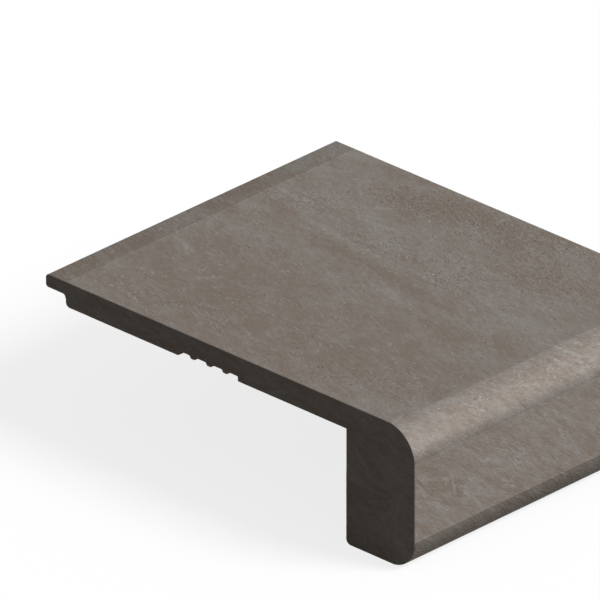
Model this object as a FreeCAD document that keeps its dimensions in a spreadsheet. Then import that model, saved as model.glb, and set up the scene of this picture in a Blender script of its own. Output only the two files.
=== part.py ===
import FreeCAD, Part
import os
import re
import Sketcher
from FreeCAD import Vector

# Flush stair nosing: a cut length of a step edge profile with a stone look.
#
# A board core runs back over the tread. A block is let into the underside of its
# front and hangs down before the riser. Decor sheets and strips cover everything
# that shows on a finished stair, and a facing closes each end. The rear lip lies
# over the tongue of the floor board behind it, and the ribbed key underneath holds
# the adhesive.
#
# Frame: the origin is the inside corner, where the underside of the deck meets the
# back of the nose, at mid-length. +X runs along the nose, +Y to the rear over the
# tread and +Z up. Every section below is drawn in Y and Z. Millimetres.

SIZES = {
    # whole profile
    "nosing_length": 134.5,
    "deck_depth": 134.0,         # inside corner to the rear edge
    "deck_thickness": 9.0,
    "nose_thickness": 30.3,      # back of the nose to its front
    "nose_drop": 41.2,           # underside of the deck to the bottom of the nose
    "facing": 0.8,               # thickness of every decor sheet, strip and end facing
    # edges of the nose
    "nose_radius": 12.0,
    "toe_radius": 10.2,
    "toe_back_radius": 2.0,
    "toe_land": 2.0,             # bare core between the toe wrap and the back radius
    # rear lip
    "lip_reach": 8.9,
    "lip_thickness": 4.75,
    "lip_core_top_radius": 0.6,
    "lip_core_bottom_radius": 0.3,
    "root_fillet": 1.5,
    "shoulder_radius": 1.8,
    # adhesive key in the underside
    "key_start": 47.9,           # inside corner to the key's front wall
    "key_width": 26.9,
    "key_depth": 1.75,
    "key_front_run": 0.3,
    "key_rear_run": 2.6,
    "key_fillet": 0.35,
    "rib_start": 5.9,            # front wall to the middle of the first rib's crest
    "rib_pitch": 7.2,
    "rib_count": 3,
    "rib_height": 1.0,
    "rib_crest": 1.6,
    "rib_front_run": 1.3,
    "rib_rear_run": 0.7,
    # joint between the deck core and the nose block
    "housing_depth": 2.0,
    "housing_bevel": 2.0,
    "tongue_setback": 10.0,
    "tongue_width": 8.0,
    "tongue_height": 2.5,
    "glue_gap": 0.1,             # above the tongue
}

# Places in the section, from the sizes.
TOP = "(deck_thickness)"
CORE_TOP = "(deck_thickness - facing)"
REAR = "(deck_depth)"
CORE_REAR = "(deck_depth - facing)"
FRONT = "(-nose_thickness)"
CORE_FRONT = "(facing - nose_thickness)"
BOTTOM = "(-nose_drop)"
CORE_BOTTOM = "(facing - nose_drop)"
BEND_Y = "(nose_radius - nose_thickness)"
BEND_Z = "(deck_thickness - nose_radius)"
BEND_CORE_RADIUS = "(nose_radius - facing)"
TOE_Y = "(toe_radius - nose_thickness)"
TOE_Z = "(toe_radius - nose_drop)"
TOE_BACK = "(-toe_back_radius)"
TOE_LAND = "(-toe_back_radius - toe_land)"
LIP_ROOT = "(deck_depth - lip_reach)"
LIP_UNDER = "(deck_thickness - lip_thickness)"
LIP_TOP_RADIUS = "(lip_core_top_radius + facing)"
LIP_BOTTOM_RADIUS = "(lip_core_bottom_radius + facing)"
LIP_BOTTOM_Y = f"({REAR} - {LIP_BOTTOM_RADIUS})"
LIP_BOTTOM_Z = f"({LIP_UNDER} + {LIP_BOTTOM_RADIUS})"
LIP_TOP_Y = f"({REAR} - {LIP_TOP_RADIUS})"
LIP_TOP_Z = f"({TOP} - {LIP_TOP_RADIUS})"
HOUSING = "(housing_depth)"
HOUSING_FRONT = f"({BEND_Y} - sqrt({BEND_CORE_RADIUS}^2 - ({HOUSING} - {BEND_Z})^2))"
TONGUE_BACK = "(-tongue_setback)"
TONGUE_FRONT = "(-tongue_setback - tongue_width)"
TONGUE_TOP = "(housing_depth + tongue_height)"
KEY_REAR = "(key_start + key_width)"
RIB_TOP = "(key_depth - rib_height)"
RIB_MIDDLE = "(key_start + rib_start)"

CORE_LENGTH = "(nosing_length - 2 * facing)"
LEFT_END = "(-nosing_length / 2)"
CORE_START = f"({LEFT_END} + facing)"
RIGHT_FACING_START = "(nosing_length / 2 - facing)"

# Outlines. A corner is (y, z), or (y, z, turn, radius) where an arc arrives at it:
# turn is 1 where the arc runs anticlockwise and -1 where it runs clockwise.
UNDERSIDE = [
    ("0", "0"),
    (f"{LIP_ROOT} - shoulder_radius", "0"),
    (LIP_ROOT, "shoulder_radius", 1, "shoulder_radius"),
    (LIP_ROOT, f"{LIP_UNDER} - root_fillet"),
    (f"{LIP_ROOT} + root_fillet", LIP_UNDER, -1, "root_fillet"),
    (LIP_BOTTOM_Y, LIP_UNDER),
]
NOSE_BACK = [
    (TOE_BACK, BOTTOM),
    ("0", f"{BOTTOM} + toe_back_radius", 1, "toe_back_radius"),
]
WHOLE_SECTION = UNDERSIDE + [
    (REAR, LIP_BOTTOM_Z, 1, LIP_BOTTOM_RADIUS),
    (REAR, LIP_TOP_Z),
    (LIP_TOP_Y, TOP, 1, LIP_TOP_RADIUS),
    (BEND_Y, TOP),
    (FRONT, BEND_Z, 1, "nose_radius"),
    (FRONT, TOE_Z),
    (TOE_Y, BOTTOM, 1, "toe_radius"),
] + NOSE_BACK
DECK_CORE = UNDERSIDE + [
    (LIP_BOTTOM_Y, f"{LIP_UNDER} + facing"),
    (CORE_REAR, LIP_BOTTOM_Z, 1, "lip_core_bottom_radius"),
    (CORE_REAR, LIP_TOP_Z),
    (LIP_TOP_Y, CORE_TOP, 1, "lip_core_top_radius"),
    (BEND_Y, CORE_TOP),
    (HOUSING_FRONT, HOUSING, 1, BEND_CORE_RADIUS),
    (TONGUE_FRONT, HOUSING),
    (TONGUE_FRONT, f"{TONGUE_TOP} + glue_gap"),
    (TONGUE_BACK, f"{TONGUE_TOP} + glue_gap"),
    (TONGUE_BACK, HOUSING),
    ("-housing_bevel", HOUSING),
]
NOSE_BLOCK = [
    ("0", "0"),
    ("-housing_bevel", HOUSING),
    (TONGUE_BACK, HOUSING),
    (TONGUE_BACK, TONGUE_TOP),
    (TONGUE_FRONT, TONGUE_TOP),
    (TONGUE_FRONT, HOUSING),
    (HOUSING_FRONT, HOUSING),
    (CORE_FRONT, BEND_Z, 1, BEND_CORE_RADIUS),
    (CORE_FRONT, TOE_Z),
    (TOE_Y, CORE_BOTTOM, 1, "toe_radius - facing"),
    (TOE_LAND, CORE_BOTTOM),
    (TOE_LAND, BOTTOM),
] + NOSE_BACK
DECK_SURFACE = [
    (BEND_Y, CORE_TOP),
    (LIP_ROOT, CORE_TOP),
    (LIP_ROOT, TOP),
    (BEND_Y, TOP),
]
REAR_LIP_WRAP = [
    (LIP_BOTTOM_Y, LIP_UNDER),
    (REAR, LIP_BOTTOM_Z, 1, LIP_BOTTOM_RADIUS),
    (REAR, LIP_TOP_Z),
    (LIP_TOP_Y, TOP, 1, LIP_TOP_RADIUS),
    (LIP_ROOT, TOP),
    (LIP_ROOT, CORE_TOP),
    (LIP_TOP_Y, CORE_TOP),
    (CORE_REAR, LIP_TOP_Z, -1, "lip_core_top_radius"),
    (CORE_REAR, LIP_BOTTOM_Z),
    (LIP_BOTTOM_Y, f"{LIP_UNDER} + facing", -1, "lip_core_bottom_radius"),
]
NOSE_WRAP = [
    (BEND_Y, CORE_TOP, -1, BEND_CORE_RADIUS),
    (BEND_Y, TOP),
    (FRONT, BEND_Z, 1, "nose_radius"),
    (CORE_FRONT, BEND_Z),
]
FRONT_SURFACE = [
    (FRONT, TOE_Z),
    (CORE_FRONT, TOE_Z),
    (CORE_FRONT, BEND_Z),
    (FRONT, BEND_Z),
]
TOE_WRAP = [
    (FRONT, TOE_Z),
    (TOE_Y, BOTTOM, 1, "toe_radius"),
    (TOE_LAND, BOTTOM),
    (TOE_LAND, CORE_BOTTOM),
    (TOE_Y, CORE_BOTTOM),
    (CORE_FRONT, TOE_Z, -1, "toe_radius - facing"),
]
KEY_RECESS = [
    ("key_start", "0"),
    (KEY_REAR, "0"),
    (f"{KEY_REAR} - key_rear_run", "key_depth"),
    ("key_start + key_front_run", "key_depth"),
]
KEY_RIB = [
    (f"{RIB_MIDDLE} - rib_crest / 2", RIB_TOP),
    (f"{RIB_MIDDLE} + rib_crest / 2", RIB_TOP),
    (f"{RIB_MIDDLE} + rib_crest / 2 + rib_rear_run", "key_depth"),
    (f"{RIB_MIDDLE} - rib_crest / 2 - rib_front_run", "key_depth"),
]


def make_sheet(doc):
    """Spreadsheet with one named cell for each size."""
    sheet = doc.addObject("Spreadsheet::Sheet", "sizes")
    for row, (name, value) in enumerate(SIZES.items(), start=1):
        sheet.set(f"A{row}", name)
        sheet.set(f"B{row}", str(value))
        sheet.setAlias(f"B{row}", name)
    doc.recompute()


def named(expression):
    """The expression with each size's name pointing at its cell."""
    return re.sub(r"\b[a-z]+(_[a-z]+)*\b",
                  lambda word: f"sizes.{word[0]}" if word[0] in SIZES else word[0],
                  expression)


def arc_between(start, end, turn, radius):
    """Sketch arc of a quarter turn or less; an anticlockwise one runs start to end."""
    chord = end - start
    rise = (radius ** 2 - (chord.Length / 2) ** 2) ** 0.5
    inward = Vector(-chord.y, chord.x, 0).normalize() * turn
    centre = (start + end) / 2 + inward * rise
    first, last = (start, end) if turn > 0 else (end, start)
    angles = [(point - centre).getAngle(Vector(1, 0, 0)) for point in (first, last)]
    if first.y < centre.y:
        angles[0] = -angles[0]
    if last.y < centre.y:
        angles[1] = -angles[1]
    return Part.ArcOfCircle(Part.Circle(centre, Vector(0, 0, 1), radius), *angles)


def draw_section(body, label, corners):
    """Closed sketch on the body's own YZ plane, every corner and radius tied to the sheet."""
    sketch = body.newObject("Sketcher::SketchObject", f"{body.Name}_{label}")
    plane = next(item for item in body.Origin.OriginFeatures if item.Role == "YZ_Plane")
    sketch.AttachmentSupport = [(plane, "")]
    sketch.MapMode = "FlatFace"

    def value(expression):
        return float(sketch.evalExpression(named(expression)))

    def dimension(kind, *where, size):
        index = sketch.addConstraint(Sketcher.Constraint(kind, *where, value(size)))
        sketch.setExpression(f"Constraints[{index}]", named(size))

    START, END, ORIGIN = 1, 2, (-1, 1)
    points = [Vector(value(corner[0]), value(corner[1]), 0) for corner in corners]
    ends = []
    for index, corner in enumerate(corners):
        start, end = points[index - 1], points[index]
        if len(corner) == 2:
            edge = sketch.addGeometry(Part.LineSegment(start, end))
            ends.append((edge, START, END))
        else:
            turn, radius = corner[2:]
            edge = sketch.addGeometry(arc_between(start, end, turn, value(radius)))
            ends.append((edge, START, END) if turn > 0 else (edge, END, START))
    for index, corner in enumerate(corners):
        edge, _, arrives = ends[index]
        following, leaves, _ = ends[(index + 1) % len(ends)]
        sketch.addConstraint(Sketcher.Constraint("Coincident", edge, arrives, following, leaves))
        dimension("DistanceX", *ORIGIN, edge, arrives, size=corner[0])
        dimension("DistanceY", *ORIGIN, edge, arrives, size=corner[1])
        if len(corner) > 2:
            dimension("Radius", edge, size=corner[3])
    return sketch


def extrude(body, kind, label, corners, length):
    """Pad or Pocket of a section along +X from the body's origin."""
    feature = body.newObject(f"PartDesign::{kind}", f"{body.Name}_{label}")
    feature.Profile = draw_section(body, f"{label}_section", corners)
    feature.Reversed = kind == "Pocket"
    feature.setExpression("Length", named(length))
    return feature


def cut_key(doc, body, length):
    """Adhesive key across the underside: a shallow recess with ribs and softened edges."""
    extrude(body, "Pocket", "key", KEY_RECESS, length)
    rib = extrude(body, "Pad", "rib", KEY_RIB, length)
    ribs = body.newObject("PartDesign::LinearPattern", f"{body.Name}_ribs")
    ribs.Originals = [rib]
    rearward = next(item for item in body.Origin.OriginFeatures if item.Role == "Y_Axis")
    ribs.Direction = (rearward, [""])
    ribs.Mode = "Spacing"
    ribs.setExpression("Offset", named("rib_pitch"))
    ribs.setExpression("Occurrences", named("rib_count"))
    body.Tip = ribs
    doc.recompute()
    soften = body.newObject("PartDesign::Fillet", f"{body.Name}_soft_key")
    soften.Base = (ribs, key_edges(ribs.Shape))
    soften.setExpression("Radius", named("key_fillet"))
    body.Tip = soften


def key_edges(shape):
    """Names of the long edges in the key: the walls, the ribs and the mouth."""
    front = SIZES["key_start"]
    rear = front + SIZES["key_width"]
    names = []
    for index, edge in enumerate(shape.Edges, start=1):
        box = edge.BoundBox
        along = box.YLength < 1e-6 and box.ZLength < 1e-6
        if along and front - 1e-6 < box.YMin < rear + 1e-6 and box.ZMin < SIZES["key_depth"] + 1e-6:
            names.append(f"Edge{index}")
    return names


def profile_piece(doc, name, corners, start=CORE_START, length=CORE_LENGTH, keyed=False):
    """One piece of the nosing: a section that runs along X from start."""
    body = doc.addObject("PartDesign::Body", name)
    body.Label = name
    body.setExpression("Placement.Base.x", named(start))
    extrude(body, "Pad", "blank", corners, length)
    if keyed:
        cut_key(doc, body, length)
    return body


def check(doc, pieces):
    """Stop before anything is written if a feature failed or cut nothing."""
    for item in doc.Objects:
        if "Invalid" in item.State or "Error" in item.State:
            raise RuntimeError(f"{item.Name} failed: {item.State}")
        if item.TypeId == "PartDesign::Pocket" and item.Shape.Volume >= item.BaseFeature.Shape.Volume:
            raise RuntimeError(f"{item.Name} cuts nothing")
    for piece in pieces:
        shape = piece.Shape
        if shape.isNull() or not shape.isValid() or len(shape.Solids) != 1:
            raise RuntimeError(f"{piece.Label} is not one sound solid")


doc = FreeCAD.newDocument("stair_nosing")
make_sheet(doc)
pieces = [
    profile_piece(doc, "deck_core", DECK_CORE, keyed=True),
    profile_piece(doc, "nose_block", NOSE_BLOCK),
    profile_piece(doc, "deck_surface", DECK_SURFACE),
    profile_piece(doc, "rear_lip_wrap", REAR_LIP_WRAP),
    profile_piece(doc, "nose_wrap", NOSE_WRAP),
    profile_piece(doc, "front_surface", FRONT_SURFACE),
    profile_piece(doc, "toe_wrap", TOE_WRAP),
    profile_piece(doc, "left_end_facing", WHOLE_SECTION, LEFT_END, "facing", keyed=True),
    profile_piece(doc, "right_end_facing", WHOLE_SECTION, RIGHT_FACING_START, "facing", keyed=True),
]
doc.recompute()
check(doc, pieces)

os.makedirs("parts", exist_ok=True)
for piece in pieces:
    piece.Shape.exportStep(f"parts/{piece.Label}.step")
    print(f"{piece.Label}: {piece.Shape.Volume:.1f} mm3")
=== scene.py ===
import math

import bmesh
import bpy
from mathutils import Matrix, Vector, noise


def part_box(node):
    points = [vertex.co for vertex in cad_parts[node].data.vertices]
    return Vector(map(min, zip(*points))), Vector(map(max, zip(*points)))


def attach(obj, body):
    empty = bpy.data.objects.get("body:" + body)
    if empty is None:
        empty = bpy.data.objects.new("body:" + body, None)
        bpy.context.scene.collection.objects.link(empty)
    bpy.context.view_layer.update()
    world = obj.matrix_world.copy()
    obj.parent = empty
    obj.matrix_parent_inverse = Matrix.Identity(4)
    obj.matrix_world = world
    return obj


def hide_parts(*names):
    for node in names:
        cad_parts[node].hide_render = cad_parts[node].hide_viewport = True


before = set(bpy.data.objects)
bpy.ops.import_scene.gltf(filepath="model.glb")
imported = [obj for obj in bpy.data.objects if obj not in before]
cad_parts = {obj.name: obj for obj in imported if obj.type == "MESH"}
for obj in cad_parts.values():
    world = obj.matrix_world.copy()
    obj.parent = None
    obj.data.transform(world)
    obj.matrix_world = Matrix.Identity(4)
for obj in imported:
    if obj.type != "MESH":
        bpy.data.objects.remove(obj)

# Looks of the stair nosing: stone decor with real relief over a milled board core.
# Metres, in the frame of the CAD model: +X along the nose, +Y to the rear, +Z up.

bpy.context.view_layer.update()

MM = 0.001
SAME = 1e-6                 # places closer than this are one place

# ---------------------------------------------------------------- sizes, from the frame
DECK_LOW, DECK_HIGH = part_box("deck_surface")
LIP_LOW, LIP_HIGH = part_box("rear_lip_wrap")
BEND_LOW, BEND_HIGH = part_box("nose_wrap")
TOE_LOW, TOE_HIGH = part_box("toe_wrap")

FACING = DECK_HIGH.z - DECK_LOW.z
TOP = DECK_HIGH.z
REAR = LIP_HIGH.y
FRONT = BEND_LOW.y
BOTTOM = TOE_LOW.z
BEND_RADIUS = BEND_HIGH.z - BEND_LOW.z
TOE_RADIUS = TOE_HIGH.z - TOE_LOW.z
LIP_TOP_RADIUS = 1.4 * MM       # the two roundings of the lip, which no box gives
LIP_BOTTOM_RADIUS = 1.1 * MM
BEND_CENTRE = (BEND_HIGH.y, BEND_LOW.z)
TOE_CENTRE = (FRONT + TOE_RADIUS, TOE_HIGH.z)
LIP_TOP_CENTRE = (REAR - LIP_TOP_RADIUS, TOP - LIP_TOP_RADIUS)
LIP_BOTTOM_CENTRE = (REAR - LIP_BOTTOM_RADIUS, LIP_LOW.z + LIP_BOTTOM_RADIUS)

# ---------------------------------------------------------------- the sheet, unrolled
# "run" is the way over the outside of the section: 0 above the inside corner, more
# towards the toe. The decor's figure is laid out on x and run.
RUN_BEND = -BEND_HIGH.y
RUN_FRONT = RUN_BEND + BEND_RADIUS * math.pi / 2
RUN_TOE = RUN_FRONT + BEND_LOW.z - TOE_HIGH.z
RUN_LIP = -LIP_LOW.y


def run_at(y, z):
    """Run of a point on the outside of the section."""
    if y >= BEND_HIGH.y and z >= BEND_LOW.z:
        return -y + z - TOP
    if z >= BEND_LOW.z:
        return RUN_BEND + BEND_RADIUS * math.atan2(BEND_CENTRE[0] - y, z - BEND_CENTRE[1])
    if z >= TOE_HIGH.z:
        return RUN_FRONT + BEND_LOW.z - z
    if y < TOE_CENTRE[0]:
        return RUN_TOE + TOE_RADIUS * math.atan2(TOE_CENTRE[1] - z, TOE_CENTRE[0] - y)
    return RUN_TOE + TOE_RADIUS * math.pi / 2 + y - TOE_CENTRE[0]


# ---------------------------------------------------------------- relief of the decor
GRID = 0.46 * MM            # spacing of the vertices that carry the relief
ARC_STEP = 0.35 * MM        # the same on the arcs of the section
CLOSEST = 0.08 * MM         # stations closer to each other than this are left out
RELIEF = (                  # wavelength and depth of each layer of the embossing
    (14.0 * MM, 0.040 * MM),
    (5.0 * MM, 0.030 * MM),
    (2.2 * MM, 0.040 * MM),
)
SEAM_STEPS = (0.12 * MM, 0.3 * MM)      # extra stations beside the end of a stretch
SEAMS = (                   # run, side of the seam that dips, width and depth of the dip
    (RUN_FRONT - 1.0 * MM, -1, 0.60 * MM, 0.06 * MM),
    (RUN_TOE, 1, 0.20 * MM, 0.05 * MM),
)
NO_SEAM = 200 * MM          # a run far from every seam
ARRIS = 0.12 * MM           # how far the edges of the ends are worn down
ARRIS_CUT = 1.5 * ARRIS     # depth of the cut that keeps this wear at the edge
FLAT_ANGLE = 0.5            # faces that meet at less than this, in degrees, are one
SHARP_ANGLE = 40            # edges sharper than this, in degrees, are shaded as edges
RIM_TILT = 0.5              # faces whose normal has less of X than this are the rim's


def surface_depth(point, run):
    """How far the stone surface lies below its outer limit, in metres."""
    depth = 0.0
    for wavelength, size in RELIEF:
        depth += size * (0.5 + 0.5 * noise.noise(point / wavelength))
    for seam, side, width, dip in SEAMS:
        distance = (run - seam) * side
        if -SAME <= distance < width:
            depth += dip * (1 - distance / width)
    return depth


# ---------------------------------------------------------------- sections and sweeps
def stations(length, step):
    """Distances along a stretch: even steps, with close ones at both ends."""
    count = max(2, round(length / step))
    marks = [length * i / count for i in range(count + 1)]
    marks += [*SEAM_STEPS, *(length - d for d in SEAM_STEPS)]
    kept = [0.0]
    for mark in sorted(marks):
        if CLOSEST < mark - kept[-1] and mark < length - CLOSEST:
            kept.append(mark)
    return kept + [length]


def straight(start, end):
    """Section points (y, z, outward y, outward z) on a line, the outside on its right."""
    start, end = Vector(start), Vector(end)
    length = (end - start).length
    along = (end - start) / length
    return [(*(start + along * d), along.y, -along.x) for d in stations(length, GRID)]


def bend(centre, radius, first, last):
    """Section points on an arc from one angle to another, in degrees from +Y to +Z."""
    length = abs(math.radians(last - first)) * radius
    points = []
    for d in stations(length, ARC_STEP):
        angle = math.radians(first + (last - first) * d / length)
        out_y, out_z = math.cos(angle), math.sin(angle)
        points.append((centre[0] + radius * out_y, centre[1] + radius * out_z, out_y, out_z))
    return points


def chain(*stretches):
    """Stretches that follow each other, each joint's point kept once."""
    points = list(stretches[0])
    for stretch in stretches[1:]:
        points += stretch[1:]
    return points


def inner_arc(centre, radius, first, last, steps=12):
    """Plain points (y, z) on an arc, for the hidden side of a strip."""
    angles = [math.radians(first + (last - first) * i / steps) for i in range(steps + 1)]
    return [(centre[0] + radius * math.cos(a), centre[1] + radius * math.sin(a)) for a in angles]


def add_object(name, data):
    """A new object in the scene, made of a mesh, a light or a camera."""
    made = bpy.data.objects.new(name, data)
    bpy.context.scene.collection.objects.link(made)
    return made


def stone_piece(name, mesh, sheet):
    """The finished piece of a mesh. sheet: x, run and 0 of each vertex, in millimetres."""
    mesh.attributes.new("sheet", "FLOAT_VECTOR", "POINT").data.foreach_set("vector", sheet)
    mesh.shade_smooth()
    mesh.set_sharp_from_angle(angle=math.radians(SHARP_ANGLE))
    return add_object(name, mesh)


def skin(name, outside, inside):
    """Closed strip between the end facings: a section swept along X, relief outside."""
    low, high = DECK_LOW.x, DECK_HIGH.x
    columns = round((high - low) / GRID) + 1
    size = len(outside) + len(inside)
    vertices, sheet = [], []
    for column in range(columns):
        x = low + (high - low) * column / (columns - 1)
        for y, z, out_y, out_z in outside:
            place, run = Vector((x, y, z)), run_at(y, z)
            vertices.append(place - Vector((0, out_y, out_z)) * surface_depth(place, run))
            sheet += (x / MM, run / MM, 0)
        for y, z in inside:
            vertices.append((x, y, z))
            sheet += (x / MM, 0, 0)
    faces = [tuple(reversed(range(size)))]
    faces.append(tuple(range((columns - 1) * size, columns * size)))
    for column in range(columns - 1):
        near, far = column * size, (column + 1) * size
        for i in range(size):
            j = (i + 1) % size
            faces.append((near + i, near + j, far + j, far + i))
    mesh = bpy.data.meshes.new(name)
    mesh.from_pydata(vertices, [], faces)
    return stone_piece(name, mesh, sheet)


def plane(axis, distance):
    """Normal and place of the plane across an axis, at a distance along it."""
    normal, place = [0, 0, 0], [0, 0, 0]
    normal[axis], place[axis] = 1, distance
    return normal, place


def end_skin(name, node):
    """An end facing: the CAD facing cut to a fine grid, with relief on its face and rim."""
    low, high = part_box(node)
    outward = 1 if high.x > 0 else -1
    face_x = high.x if outward > 0 else low.x
    cut = bmesh.new()
    cut.from_mesh(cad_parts[node].data)
    bmesh.ops.remove_doubles(cut, verts=cut.verts, dist=SAME)
    bmesh.ops.dissolve_limit(
        cut, angle_limit=math.radians(FLAT_ANGLE), verts=cut.verts, edges=cut.edges)

    # cuts across X beside the worn edge, then across Y and Z in a grid and at the seams
    planes = [plane(0, face_x - outward * ARRIS_CUT)]
    for axis in (1, 2):
        marks = stations(high[axis] - low[axis], GRID)
        planes += [plane(axis, low[axis] + mark) for mark in marks]
    for axis, seam in ((1, LIP_LOW.y), (1, BEND_HIGH.y), (2, BEND_LOW.z), (2, TOE_HIGH.z)):
        planes += [plane(axis, seam + shift) for shift in (-SEAM_STEPS[1], 0, SEAM_STEPS[1])]
    for normal, place in planes:
        everything = cut.verts[:] + cut.edges[:] + cut.faces[:]
        bmesh.ops.bisect_plane(cut, geom=everything, dist=SAME, plane_co=place, plane_no=normal)
    cut.normal_update()

    # all moves are worked out before the first vertex moves, from the normals of the CAD
    sheet = []
    moves = []
    for vertex in cut.verts:
        place = vertex.co.copy()
        run = run_at(place.y, place.z)
        sheet += (place.x / MM, run / MM, 0)
        on_face = abs(place.x - face_x) < SAME
        on_rim = any(abs(face.normal.x) < RIM_TILT for face in vertex.link_faces)
        rim_out = Vector((0, vertex.normal.y, vertex.normal.z)).normalized()
        move = Vector((0, 0, 0))
        if on_rim:
            move -= rim_out * surface_depth(place, run)
        if on_face:
            move.x -= outward * surface_depth(place, NO_SEAM)
        if on_rim and on_face:
            move -= (rim_out + Vector((outward, 0, 0))) * ARRIS / 2
        moves.append(move)
    for vertex, move in zip(cut.verts, moves):
        vertex.co += move
    mesh = bpy.data.meshes.new(name)
    cut.to_mesh(mesh)
    cut.free()
    return stone_piece(name, mesh, sheet)


deck_stone = skin(
    "deck_stone",
    straight((LIP_LOW.y, TOP), (BEND_HIGH.y, TOP)),
    [(BEND_HIGH.y, TOP - FACING), (LIP_LOW.y, TOP - FACING)],
)
rear_lip_stone = skin(
    "rear_lip_stone",
    chain(
        bend(LIP_BOTTOM_CENTRE, LIP_BOTTOM_RADIUS, -90, 0),
        straight((REAR, LIP_BOTTOM_CENTRE[1]), (REAR, LIP_TOP_CENTRE[1])),
        bend(LIP_TOP_CENTRE, LIP_TOP_RADIUS, 0, 90),
        straight((LIP_TOP_CENTRE[0], TOP), (LIP_LOW.y, TOP)),
    ),
    [(LIP_LOW.y, TOP - FACING)]
    + inner_arc(LIP_TOP_CENTRE, LIP_TOP_RADIUS - FACING, 90, 0)
    + inner_arc(LIP_BOTTOM_CENTRE, LIP_BOTTOM_RADIUS - FACING, 0, -90),
)
nose_stone = skin(
    "nose_stone",
    bend(BEND_CENTRE, BEND_RADIUS, 90, 180),
    inner_arc(BEND_CENTRE, BEND_RADIUS - FACING, 180, 90),
)
front_stone = skin(
    "front_stone",
    straight((FRONT, BEND_LOW.z), (FRONT, TOE_HIGH.z)),
    [(FRONT + FACING, TOE_HIGH.z), (FRONT + FACING, BEND_LOW.z)],
)
toe_stone = skin(
    "toe_stone",
    chain(
        bend(TOE_CENTRE, TOE_RADIUS, 180, 270),
        straight((TOE_CENTRE[0], BOTTOM), (TOE_HIGH.y, BOTTOM)),
    ),
    [(TOE_HIGH.y, BOTTOM + FACING)]
    + inner_arc(TOE_CENTRE, TOE_RADIUS - FACING, 270, 180),
)
left_end_stone = end_skin("left_end_stone", "left_end_facing")
right_end_stone = end_skin("right_end_stone", "right_end_facing")

# ---------------------------------------------------------------- node graphs

class Graph:
    """Short calls that add nodes to a tree. Inputs are numbers, colours or sockets."""

    def __init__(self, tree):
        self.tree = tree

    def add(self, kind, inputs=None, **settings):
        node = self.tree.nodes.new(kind)
        for name, value in settings.items():
            setattr(node, name, value)
        for name, value in (inputs or {}).items():
            if isinstance(value, bpy.types.NodeSocket):
                self.tree.links.new(value, node.inputs[name])
            else:
                node.inputs[name].default_value = value
        return node

    def math(self, operation, *values, clamp=False):
        inputs = dict(enumerate(values))
        return self.add("ShaderNodeMath", inputs, operation=operation, use_clamp=clamp).outputs[0]

    def vector(self, operation, *values, out=0):
        inputs = dict(enumerate(values))
        return self.add("ShaderNodeVectorMath", inputs, operation=operation).outputs[out]

    def scale(self, vector, factor):
        inputs = {"Vector": vector, "Scale": factor}
        return self.add("ShaderNodeVectorMath", inputs, operation="SCALE").outputs[0]

    def noise(self, vector, wavelength, detail=2.0, roughness=0.5, out="Fac"):
        inputs = {
            "Vector": vector, "Scale": 1 / wavelength, "Detail": detail, "Roughness": roughness,
        }
        return self.add("ShaderNodeTexNoise", inputs, noise_dimensions="3D").outputs[out]

    def smooth(self, value, low, high, to_low=0.0, to_high=1.0):
        """A soft step from to_low, where the value is low, to to_high, where it is high."""
        inputs = {"Value": value, 1: low, 2: high, 3: to_low, 4: to_high}
        node = self.add("ShaderNodeMapRange", inputs, interpolation_type="SMOOTHSTEP")
        return node.outputs[0]

    def mix(self, factor, first, second):
        """Colour between the first, at factor 0, and the second, at factor 1."""
        inputs = {0: factor, 6: first, 7: second}
        return self.add("ShaderNodeMix", inputs, data_type="RGBA").outputs[2]


# The ends have a part of the sheet to themselves, with y for x and z for run.
END_RUN = -380                              # its run at z = 0
END_FIRST, END_LAST = END_RUN - 50, END_RUN + 20        # runs beyond its two edges
SHEET_FIRST, SHEET_LAST = -140, 110         # runs beyond the edges of the unrolled sheet

# The decor's figure, laid out on the unrolled sheet, in millimetres. Every mark has its
# two ends (x, run), its half width and its strength.
# Grey (+) and brown (-) fields of the stone.
FIELDS = (
    ((-40, -110), (-40, 10), 34, -0.27),
    ((46, -122), (36, -96), 10, 0.30),
    ((30, -90), (32, -45), 9, 0.28),
    ((24, -40), (18, 5), 8, 0.20),
    ((12, 0), (14, 22), 9, 0.30),
    ((61, -128), (65, -115), 4, 0.45),
    ((-44, -52), (-26, -40), 7, 0.14),
    ((-66, -5), (-52, 18), 6, 0.28),
    ((-2, -50), (-4, -36), 3.5, 0.30),
    ((12, -94), (5, -30), 3.5, -0.40),
    ((50, -92), (60, -64), 8, -0.36),
    ((54, -62), (60, -32), 8, -0.34),
    ((38, -28), (44, -6), 6, -0.32),
    ((-54, -64), (-42, -56), 5, -0.36),
    ((-50, -90), (-40, -82), 6, -0.32),
    ((-26, -96), (-31, -76), 5, -0.20),
    ((-9, -16), (-4, 16), 5, -0.24),
    ((21, -122), (18, -102), 3, -0.30),
    ((60, -110), (64, -98), 4, -0.30),
    ((50, -130), (68, -130), 5, 0.50),
    ((-38, -130), (-16, -130), 4, -0.40),
    ((-65, -130), (-48, -130), 3.5, -0.35),
    ((6, -130), (34, -130), 3.5, -0.35),
    ((-60, 28), (60, 28), 7, -0.22),
    ((-55, 34), (-51, 36), 1.2, -0.5),
    ((-62, 41), (-59, 43), 1.4, -0.4),
    ((-53, 48), (-51, 50), 1.2, -0.45),
    ((-17, 32), (-14, 36), 1.3, -0.45),
    ((-66, 58), (-57, 64), 1.6, -0.4),
    ((-54, 54), (-50, 57), 1.3, -0.4),
    ((-44, 59), (-39, 63), 1.4, -0.4),
    ((-60, 70), (60, 70), 4, -0.12),
    ((-20, END_RUN - 12), (-27, END_RUN - 34), 6, 0.30),
    ((-14, END_RUN - 6), (-26, END_RUN - 12), 6, 0.20),
    ((-6, END_RUN - 24), (-14, END_RUN - 26), 5, -0.20),
)
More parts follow.
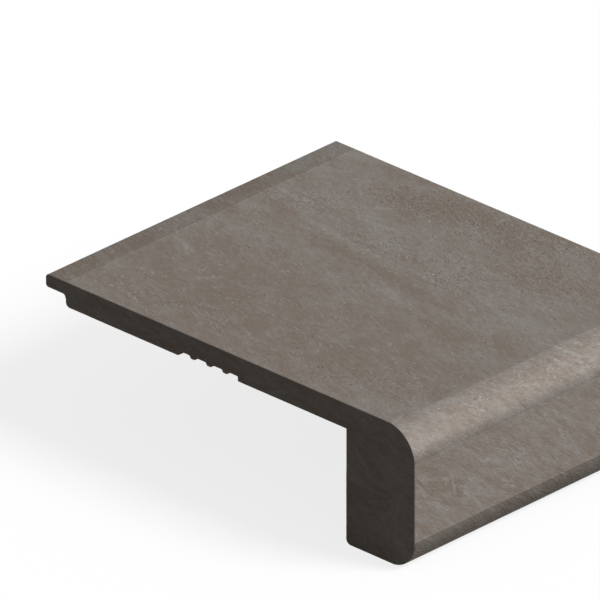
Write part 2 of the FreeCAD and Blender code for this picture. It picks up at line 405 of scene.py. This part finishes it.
# Pale veins.
VEINS = (
    ((19, -99), (17, -80), 2.0, 0.45),
    ((17, -78), (15, -62), 1.2, 0.40),
    ((16, -57), (15, -32), 1.2, 0.45),
    ((1, -48), (-3, -38), 1.6, 0.30),
    ((-63, -93), (-57, -113), 1.0, 0.40),
    ((-55, -52), (-51, -63), 0.8, 0.50),
    ((-24, -109), (-19, -121), 1.2, 0.50),
    ((-38, -97), (-29, -92), 1.4, 0.30),
    ((31, -89), (34, -70), 0.9, 0.45),
    ((30, -124), (28, -106), 1.1, 0.35),
    ((40, -92), (48, -80), 0.8, 0.35),
    ((-62, 12), (-57, 16), 1.6, 0.40),
    ((-66, 20), (-60, 18), 0.9, 0.50),
    ((7, 15), (9, 21), 0.9, 0.60),
    ((9, 21), (14, 28), 0.9, 0.60),
    ((13, 18), (18, 27), 0.8, 0.50),
    ((-66, 42), (-55, 46.5), 0.8, 0.40),
    ((-55, 46.5), (-50, 47), 0.7, 0.50),
    ((-50, 47), (-48, 54), 0.6, 0.55),
    ((-62, 52), (-51, 58), 0.8, 0.40),
    ((-57, 50), (-48, 55), 0.5, 0.40),
    ((-46, 52), (-38, 61), 0.7, 0.45),
    ((-43, 40), (-36, 45), 0.8, 0.50),
    ((-36, 45), (-31, 49), 0.9, 0.55),
    ((-31, 49), (-26, 50), 0.7, 0.40),
    ((-30, 43), (-20, 53), 0.6, 0.35),
    ((-20, 53), (-9, 58), 0.7, 0.35),
    ((-20, 34), (-13, 41), 0.7, 0.35),
    ((-13, 41), (-4, 47), 0.9, 0.40),
    ((-40, 65), (-33, 71), 0.8, 0.55),
    ((-65, 46), (-58, 56), 0.5, 0.40),
    ((-48, 37), (-40, 43), 0.5, 0.35),
    ((-36, 38), (-27, 45), 0.5, 0.40),
    ((-27, 45), (-17, 52), 0.5, 0.30),
    ((-8, 38), (2, 45), 0.6, 0.35),
    ((-54, 60), (-47, 66), 0.6, 0.35),
    ((-38, 52), (-28, 61), 0.5, 0.35),
    ((-59, 66), (-53, 72), 0.6, 0.50),
    ((-4, END_RUN - 5), (-10, END_RUN - 11), 1.0, 0.50),
    ((-7, END_RUN - 12), (-15, END_RUN - 14), 1.0, 0.45),
    ((0, END_RUN - 16), (-12, END_RUN - 18), 0.7, 0.30),
    ((-19, END_RUN - 19), (-28, END_RUN - 13), 0.8, 0.40),
    ((-23, END_RUN - 18), (-22, END_RUN - 30), 1.4, 0.40),
    ((-22, END_RUN - 30), (-26, END_RUN - 38), 1.2, 0.55),
    ((124, END_RUN + 4), (100, END_RUN + 2), 1.2, 0.40),
    ((32, END_RUN + 1), (20, END_RUN + 7), 0.9, 0.45),
)
# Places where the surface is coarser.
COARSE = (
    ((52, -88), (60, -20), 13, 0.8),
    ((22, -78), (30, -20), 9, 0.6),
    ((26, -120), (32, -98), 7, 0.7),
    ((-60, -26), (-42, 8), 9, 0.5),
    ((15, -50), (17, -26), 4, 0.7),
    ((46, -24), (38, 2), 8, 0.6),
    ((-60, 27), (60, 27), 7, 0.50),
    ((-60, 70), (60, 70), 5, 0.50),
    ((-58, -118), (-50, -60), 8, 0.30),
    ((-15, END_RUN - 8), (-15, END_RUN - 34), 9, 0.40),
)
# Painted light and shade in steps along the run: from one run to another, and by what factor.
# None of these is a change in the print: they stand in for light and shade on the sheet.
# painted shade: the lip band is darkened as a whole
LIP_PAINTED_SHADE = 0.82
PAINTED_LIGHT_STEPS = (
    # the lip band's seam: up out of the lip's painted shade, with a thin painted highlight line
    (-124.75, -124.45, 1.10 / LIP_PAINTED_SHADE),
    (-124.35, -124.0, 1 / 1.10),
    # the nose: a painted dark line before it, a painted highlight rising over its upper part and
    # painted shade over its lower part, then a dark and a light painted line at its end and a
    # small lift onto the front
    (18.15, 18.45, 0.93),
    (19.5, 24.0, 1.065),
    (19.9, 20.1, 1.155),
    (22.0, 30.0, 1.17),
    (31.2, 35.6, 0.735),
    (35.6, 36.0, 0.90),
    (36.15, 36.45, 1.155),
    (37.05, 37.25, 1.03),
    # the toe: painted shade, darker from where it turns down
    (64.6, 64.8, 0.64),
    (65.2, 70.6, 0.885),
)
# From which run on the figure is drawn out which way, in degrees from down the sheet.
LAYS = ((-400, -83), (-200, 15), (20.0, -50), (36.4, -51))
REACH = 7                   # how far a mark can be seen beside its ends
MARK_EDGE = (1.4, 0.3)      # where a mark starts to show and is full, 1 at its half width
MARK_DEPTH = 1000           # marks go right through the sheet


def near(marks, first, last):
    """The marks that can be seen between two runs."""
    kept = []
    for mark in marks:
        runs = (mark[0][1], mark[1][1])
        if min(runs) < last + REACH and max(runs) > first - REACH:
            kept.append(mark)
    return kept


def figure_group(name, first, last, contrast, drawn, pitted):
    """Node group of the stone between two runs of the sheet. Wavelengths and lengths
    are in millimetres of the sheet; the other numbers are shares, from 0 to 1 or so."""
    tree = bpy.data.node_groups.new(name, "ShaderNodeTree")
    tree.interface.new_socket("Sheet", in_out="INPUT", socket_type="NodeSocketVector")
    # the last output is the painted light and shade along the run
    for output in ("Grey", "Veins", "Grain", "Pits", "Flecks", "Height", "PaintedLight"):
        tree.interface.new_socket(output, in_out="OUTPUT", socket_type="NodeSocketFloat")
    graph = Graph(tree)
    sheet = graph.add("NodeGroupInput").outputs["Sheet"]
    run = graph.add("ShaderNodeSeparateXYZ", {"Vector": sheet}).outputs["Y"]

    # painted light and shade along the run, with the steps before this stretch passed and those
    # within it as soft steps, and the way the figure is drawn out
    passed = math.prod(factor for start, end, factor in PAINTED_LIGHT_STEPS if end <= first)
    painted_light = graph.math("MULTIPLY", LIP_PAINTED_SHADE, passed)
    for start, end, factor in PAINTED_LIGHT_STEPS:
        if end > first and start < last:
            painted_light = graph.math("MULTIPLY", painted_light, graph.smooth(run, start, end, 1.0, factor))
    lay = math.radians(LAYS[0][1])
    for (_, before), (start, after) in zip(LAYS, LAYS[1:]):
        if last > start:
            step = graph.math("GREATER_THAN", run, start)
            lay = graph.math("MULTIPLY_ADD", step, math.radians(after - before), lay)
    turn = graph.add("ShaderNodeCombineXYZ", {"Z": lay}).outputs[0]

    def warped(vector, wavelength, size):
        """The vector shifted to and fro by about a quarter of the size."""
        shift = graph.noise(vector, wavelength, detail=2, roughness=0.6, out="Color")
        shift = graph.scale(graph.vector("SUBTRACT", shift, (0.5, 0.5, 0.5)), size)
        return graph.vector("ADD", vector, shift)

    def drawn_out(vector, length):
        """The vector turned to the lay of the stone and drawn out along it."""
        inputs = {"Vector": vector, "Rotation": turn, "Scale": (1, length * drawn, 1)}
        return graph.add("ShaderNodeMapping", inputs, vector_type="TEXTURE").outputs[0]

    def add_marks(value, vector, marks):
        """Adds to a value, in a soft ellipse around each mark."""
        for start, end, half_width, strength in near(marks, first, last):
            start, end = Vector((*start, 0)), Vector((*end, 0))
            reach = end - start
            ellipse = graph.add("ShaderNodeMapping", {
                "Vector": vector,
                "Location": (start + end) / 2,
                "Rotation": (0, 0, math.atan2(reach.y, reach.x)),
                "Scale": (reach.length / 2 + half_width, half_width, MARK_DEPTH),
            }, vector_type="TEXTURE").outputs[0]
            mask = graph.smooth(graph.vector("LENGTH", ellipse, out="Value"), *MARK_EDGE)
            value = graph.math("MULTIPLY_ADD", mask, strength, value)
        return value

    # where the stone is coarse
    wavy = warped(warped(sheet, 11, 9), 3, 2.4)
    coarse = graph.smooth(graph.noise(sheet, 15, detail=2), 0.45, 0.66, 0.0, 0.25)
    coarse = graph.math("ADD", add_marks(coarse, wavy, COARSE), 0.0, clamp=True)

    # grey and brown: wide clouds, placed fields and small patches, along the lay, and a
    # mottle where the stone is coarse
    clouds = graph.noise(drawn_out(warped(sheet, 14, 8), 2.6), 9, detail=4, roughness=0.6)
    grey = add_marks(graph.math("MULTIPLY_ADD", clouds, 2.0, -0.54), wavy, FIELDS)
    patches = graph.noise(drawn_out(warped(sheet, 4, 2.0), 3.2), 2.0, detail=4, roughness=0.6)
    mottle = graph.math("SUBTRACT", graph.noise(sheet, 1.7, detail=2, roughness=0.6), 0.5)
    grey = graph.math("MULTIPLY_ADD", graph.math("MULTIPLY", mottle, coarse), 2.2, grey)
    grey = graph.math("SUBTRACT", grey, 0.9 * contrast)
    grey = graph.math("MULTIPLY_ADD", patches, 1.8 * contrast, grey, clamp=True)

    # veins: placed ones, and hairlines that wander along the lay; both are broken
    bent = warped(warped(sheet, 7, 4), 1.8, 0.9)
    placed = add_marks(0.0, bent, VEINS)
    lines = graph.noise(drawn_out(warped(sheet, 6, 2.5), 6), 2.4, detail=2, roughness=0.5)
    lines = graph.smooth(graph.math("ABSOLUTE", graph.math("SUBTRACT", lines, 0.5)), 0.028, 0.0)
    some = graph.smooth(graph.noise(sheet, 8, detail=2), 0.42, 0.60, 0.0, 0.5 * contrast)
    veins = graph.math("MULTIPLY_ADD", lines, some, placed)
    broken = graph.smooth(graph.noise(sheet, 2.0, detail=3, roughness=0.65), 0.40, 0.58, 0.3, 1.0)
    veins = graph.math("MULTIPLY", veins, broken, clamp=True)

    # grain, pits and flecks, stronger where the stone is coarse
    grain = graph.noise(drawn_out(sheet, 3.0), 0.6, detail=2, roughness=0.55)
    bumps = graph.noise(drawn_out(warped(sheet, 1.5, 0.8), 3.0), 1.2, detail=2, roughness=0.5)
    grain = graph.math("SUBTRACT", graph.math("MULTIPLY_ADD", bumps, 0.9, grain), 0.95)
    grain = graph.math("MULTIPLY", grain, graph.math("MULTIPLY_ADD", coarse, 0.62, 0.38))

    def dots(offset, spacing, share, least, size):
        """Small uneven spots: some of the cells of a grid, more where the stone is coarse."""
        moved = drawn_out(warped(graph.vector("ADD", sheet, offset), 0.9, 0.9), 1.5)
        cells = graph.add("ShaderNodeTexVoronoi", {"Vector": moved, "Scale": 1 / spacing})
        chance = graph.add("ShaderNodeSeparateColor", {"Color": cells.outputs["Color"]}).outputs[0]
        share = graph.math("MULTIPLY_ADD", coarse, share, least)
        chosen = graph.math("LESS_THAN", chance, share)
        spot = graph.smooth(cells.outputs["Distance"], size, size * 0.2)
        return graph.math("MULTIPLY", chosen, spot)

    pits = dots((31, 7, 3), 1.2, 0.13 * pitted, 0.003 * pitted, 0.42)
    flecks = dots((5, 43, 17), 1.1, 0.22, 0.012, 0.45)
    height = graph.math("MULTIPLY_ADD", flecks, 0.22, grain)
    height = graph.math("MULTIPLY_ADD", pits, -0.35, height)
    height = graph.math("MULTIPLY_ADD", veins, 0.20, height)
    graph.add("NodeGroupOutput", {
        "Grey": grey, "Veins": veins, "Grain": grain, "Pits": pits, "Flecks": flecks,
        "Height": height, "PaintedLight": painted_light,
    })
    return tree


# ---------------------------------------------------------------- materials
BROWN = (0.185, 0.152, 0.126, 1)
GREY = (0.228, 0.207, 0.188, 1)
VEIN = (0.285, 0.270, 0.258, 1)
PIT = (0.12, 0.096, 0.08, 1)
FLECK = (0.28, 0.26, 0.24, 1)
STONE_BUMP = 0.26 * MM
GRAIN_SHADE = 0.7           # how much lighter and darker the grain makes the stone
GRAIN_ROUGHNESS = 0.4       # and how much rougher and smoother

BOARD_DARK = (0.155, 0.105, 0.066, 1)
BOARD_LIGHT = (0.20, 0.14, 0.092, 1)
FIBRE_PALE = (0.31, 0.235, 0.165, 1)
FIBRE_DARK = (0.095, 0.062, 0.039, 1)
BOARD_BUMP = 0.08 * MM
FIBRE_SHAPE = (0.5, 1, 1.6)             # fibres lie along X and flat
FIBRE_ROUGHNESS = (0.7, 0.25)           # at the fibres' low places, and what is added high up


def new_material(name):
    """An empty node material and the graph to fill it with."""
    material = bpy.data.materials.new(name)
    material.use_nodes = True
    material.node_tree.nodes.clear()
    return material, Graph(material.node_tree)


def place_in_mm(graph):
    """Socket with the place in millimetres."""
    return graph.scale(graph.add("ShaderNodeTexCoord").outputs["Object"], 1 / MM)


def stone(name, first, last, gloss, contrast=1.0, drawn=0.8, pitted=1.0, tint=(1, 1, 1),
          roughness=0.6, on_end=False):
    """Printed and embossed stone decor, with painted light and shade, between two runs of the
    sheet. contrast, drawn (out along its lay) and pitted vary the figure; on_end lays the sheet
    over an end."""
    material, graph = new_material(name)
    if on_end:
        place = graph.add("ShaderNodeSeparateXYZ", {"Vector": place_in_mm(graph)}).outputs
        turned = {"X": place["Y"], "Y": place["Z"], "Z": place["X"]}
        sheet = graph.add("ShaderNodeCombineXYZ", turned).outputs[0]
        sheet = graph.vector("ADD", sheet, (0, END_RUN, 0))
    else:
        sheet = graph.add("ShaderNodeAttribute", attribute_name="sheet").outputs["Vector"]
    figure = figure_group(name + "_figure", first, last, contrast, drawn, pitted)
    given = graph.add("ShaderNodeGroup", {"Sheet": sheet}, node_tree=figure).outputs

    colour = graph.mix(given["Grey"], BROWN, GREY)
    colour = graph.mix(given["Veins"], colour, VEIN)
    colour = graph.mix(given["Flecks"], colour, FLECK)
    colour = graph.mix(given["Pits"], colour, PIT)
    shade = graph.math("MULTIPLY_ADD", given["Grain"], GRAIN_SHADE, 1.0)
    # the painted light and shade along the run lighten or darken the colour
    shade = graph.math("MULTIPLY", shade, given["PaintedLight"])
    colour = graph.vector("MULTIPLY", graph.scale(colour, shade), tint)
    bump = graph.add("ShaderNodeBump", {
        "Height": given["Height"], "Strength": 1.0, "Distance": STONE_BUMP,
    })
    rough = graph.math("MULTIPLY_ADD", given["Grain"], GRAIN_ROUGHNESS, roughness)
    surface = graph.add("ShaderNodeBsdfPrincipled", {
        "Base Color": colour, "Roughness": rough, "Normal": bump.outputs[0],
        "Specular IOR Level": gloss,
    })
    graph.add("ShaderNodeOutputMaterial", {"Surface": surface.outputs[0]})
    return material


def board(name):
    """Milled fibreboard: fine felted fibres over soft clouds."""
    material, graph = new_material(name)
    place = place_in_mm(graph)
    stretched = graph.vector("MULTIPLY", place, FIBRE_SHAPE)
    fibres = graph.noise(stretched, 0.5, detail=4, roughness=0.7)
    clouds = graph.noise(place, 7, detail=3)
    colour = graph.mix(graph.smooth(clouds, 0.3, 0.7), BOARD_DARK, BOARD_LIGHT)
    colour = graph.mix(graph.smooth(fibres, 0.55, 0.75), colour, FIBRE_PALE)
    colour = graph.mix(graph.smooth(fibres, 0.42, 0.28), colour, FIBRE_DARK)
    bump = graph.add("ShaderNodeBump", {
        "Height": fibres, "Strength": 0.8, "Distance": BOARD_BUMP,
    })
    least, more = FIBRE_ROUGHNESS
    rough = graph.math("MULTIPLY_ADD", fibres, more, least)
    surface = graph.add("ShaderNodeBsdfPrincipled", {
        "Base Color": colour, "Roughness": rough, "Normal": bump.outputs[0],
    })
    graph.add("ShaderNodeOutputMaterial", {"Surface": surface.outputs[0]})
    return material


LIP_STONE = stone("lip_stone", SHEET_FIRST, RUN_LIP / MM, gloss=0.03, contrast=1.5)
DECK_STONE = stone("deck_stone", RUN_LIP / MM, RUN_BEND / MM, gloss=0.03,
                   tint=(0.975, 0.983, 0.992))
NOSE_STONE = stone("nose_stone", RUN_BEND / MM, RUN_FRONT / MM, gloss=0.05, contrast=1.2,
                   pitted=0.2, tint=(0.985, 1, 1.025), roughness=0.5)
FRONT_STONE = stone("front_stone", RUN_FRONT / MM, RUN_TOE / MM, gloss=0.05, contrast=1.25,
                    drawn=1.5, pitted=0.3)
TOE_STONE = stone("toe_stone", RUN_TOE / MM, SHEET_LAST, gloss=0.05, contrast=1.8,
                  drawn=1.5, pitted=0.3)
# the ends' dark tint is painted shade: the same decor, darkened on the end faces
END_STONE = stone("end_stone", END_FIRST, END_LAST, gloss=0.11, contrast=1.9, drawn=1.0,
                  pitted=0.2, tint=(0.62, 0.595, 0.575), on_end=True)
BOARD = board("board_core")

# ---------------------------------------------------------------- pieces and their looks
for piece, material, slot, *nodes in (
    (deck_stone, DECK_STONE, "stone_decor", "deck_surface"),
    (rear_lip_stone, LIP_STONE, "lip_decor", "rear_lip_wrap"),
    (nose_stone, NOSE_STONE, "stone_decor", "nose_wrap"),
    (front_stone, FRONT_STONE, "stone_decor", "front_surface"),
    (toe_stone, TOE_STONE, "stone_decor", "toe_wrap"),
):
    piece.data.materials.append(material)
    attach(piece, "root")
    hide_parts(*nodes)

RIM_STONES = (DECK_STONE, LIP_STONE, NOSE_STONE, FRONT_STONE, TOE_STONE)
RIM_MARGIN = 1 * MM         # faces of the rim this close to a flat of the section lie on it


def rim_stone(centre):
    """Which decor turns over the edge of an end facing at a place on its rim, if any."""
    if centre.z < TOE_HIGH.z and centre.y < TOE_HIGH.y:
        return TOE_STONE
    if centre.y < FRONT + RIM_MARGIN and centre.z < BEND_LOW.z:
        return FRONT_STONE
    if centre.z > BEND_LOW.z and centre.y < BEND_HIGH.y:
        return NOSE_STONE
    if centre.y > LIP_LOW.y and centre.z > LIP_LOW.z + RIM_MARGIN:
        return LIP_STONE
    return DECK_STONE if centre.z > TOP - RIM_MARGIN else None


for piece, node in ((left_end_stone, "left_end_facing"), (right_end_stone, "right_end_facing")):
    piece.data.materials.append(END_STONE)
    for material in RIM_STONES:
        piece.data.materials.append(material)
    for face in piece.data.polygons:
        if abs(face.normal.x) < RIM_TILT:
            found = rim_stone(face.center)
            if found:
                face.material_index = 1 + RIM_STONES.index(found)
    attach(piece, "root")
    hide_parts(node)

for node in ("deck_core", "nose_block"):
    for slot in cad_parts[node].material_slots:
        slot.material = BOARD

# ---------------------------------------------------------------- stage
WHITE = (1, 1, 1, 1)
FLOOR_SIZE = 6.0
FLOOR_GREY = (0.25, 0.25, 0.25, 1)      # what the floor throws up at the object
FLOOR_PLAIN = 0.8           # share of plain white in the floor; the rest takes the shadow
AMBIENT = 0.30              # light from all around
KEY_FROM = Vector((0.35, -0.66, 0.66))
KEY_STRENGTH = 3.3
KEY_SPREAD = 25             # degrees; wide, for a soft shadow


def sees_white(graph):
    """1 for the rays that see a white surrounding: camera, glossy and transmission."""
    path = graph.add("ShaderNodeLightPath").outputs
    seen = graph.math("MAXIMUM", path["Is Camera Ray"], path["Is Glossy Ray"])
    return graph.math("MAXIMUM", seen, path["Is Transmission Ray"])


def floor_material():
    """White with the object's soft shadow where it is seen, and dim as a source of light."""
    material, graph = new_material("floor")
    seen = sees_white(graph)
    lit = graph.add("ShaderNodeBsdfDiffuse", {"Color": graph.mix(seen, FLOOR_GREY, WHITE)})
    plain = graph.add("ShaderNodeEmission", {"Color": WHITE, "Strength": 1.0})
    share = graph.math("MULTIPLY", seen, FLOOR_PLAIN)
    both = graph.add("ShaderNodeMixShader", {0: share, 1: lit.outputs[0], 2: plain.outputs[0]})
    graph.add("ShaderNodeOutputMaterial", {"Surface": both.outputs[0]})
    return material


half = FLOOR_SIZE / 2
floor_mesh = bpy.data.meshes.new("floor")
floor_mesh.from_pydata(
    [(-half, -half, BOTTOM), (half, -half, BOTTOM), (half, half, BOTTOM), (-half, half, BOTTOM)],
    [], [(0, 1, 2, 3)],
)
floor_mesh.materials.append(floor_material())
floor = add_object("floor", floor_mesh)

world = bpy.data.worlds.new("studio")
world.use_nodes = True
world.node_tree.nodes.clear()
graph = Graph(world.node_tree)
fill = graph.add("ShaderNodeBackground", {"Color": WHITE, "Strength": AMBIENT})
plain = graph.add("ShaderNodeBackground", {"Color": WHITE, "Strength": 1.0})
both = graph.add("ShaderNodeMixShader", {
    0: sees_white(graph), 1: fill.outputs[0], 2: plain.outputs[0],
})
graph.add("ShaderNodeOutputWorld", {"Surface": both.outputs[0]})
bpy.context.scene.world = world

key_data = bpy.data.lights.new("key", "SUN")
key_data.energy = KEY_STRENGTH
key_data.angle = math.radians(KEY_SPREAD)
key = add_object("key", key_data)
key.rotation_mode = "QUATERNION"
key.rotation_quaternion = KEY_FROM.to_track_quat("Z", "Y")

# ---------------------------------------------------------------- camera
AZIMUTH, ELEVATION = math.radians(-46.15), math.radians(26.7)
AIM = Vector((-64.04, 23.36, 36.71)) * MM
FRAME_WIDTH = 191.44 * MM               # what the picture spans at the aim
LENS, SENSOR = 1500, 36                 # a very long lens: the view is all but parallel
NEAREST, FARTHEST = 0.1, 50             # what the camera can see

right = Vector((math.cos(AZIMUTH), math.sin(AZIMUTH), 0))
back = Vector((
    math.sin(AZIMUTH) * math.cos(ELEVATION),
    -math.cos(AZIMUTH) * math.cos(ELEVATION),
    math.sin(ELEVATION),
))
turn = Matrix((right, back.cross(right), back)).transposed()
camera_data = bpy.data.cameras.new("camera")
camera_data.lens = LENS
camera_data.sensor_width = SENSOR
camera_data.clip_start = NEAREST
camera_data.clip_end = FARTHEST
camera = add_object("camera", camera_data)
camera.matrix_world = Matrix.Translation(AIM + back * FRAME_WIDTH * LENS / SENSOR) @ turn.to_4x4()
bpy.context.scene.camera = camera
bpy.context.scene.view_settings.view_transform = "Standard"

# ---------------------------------------------------------------- update
bpy.context.view_layer.update()
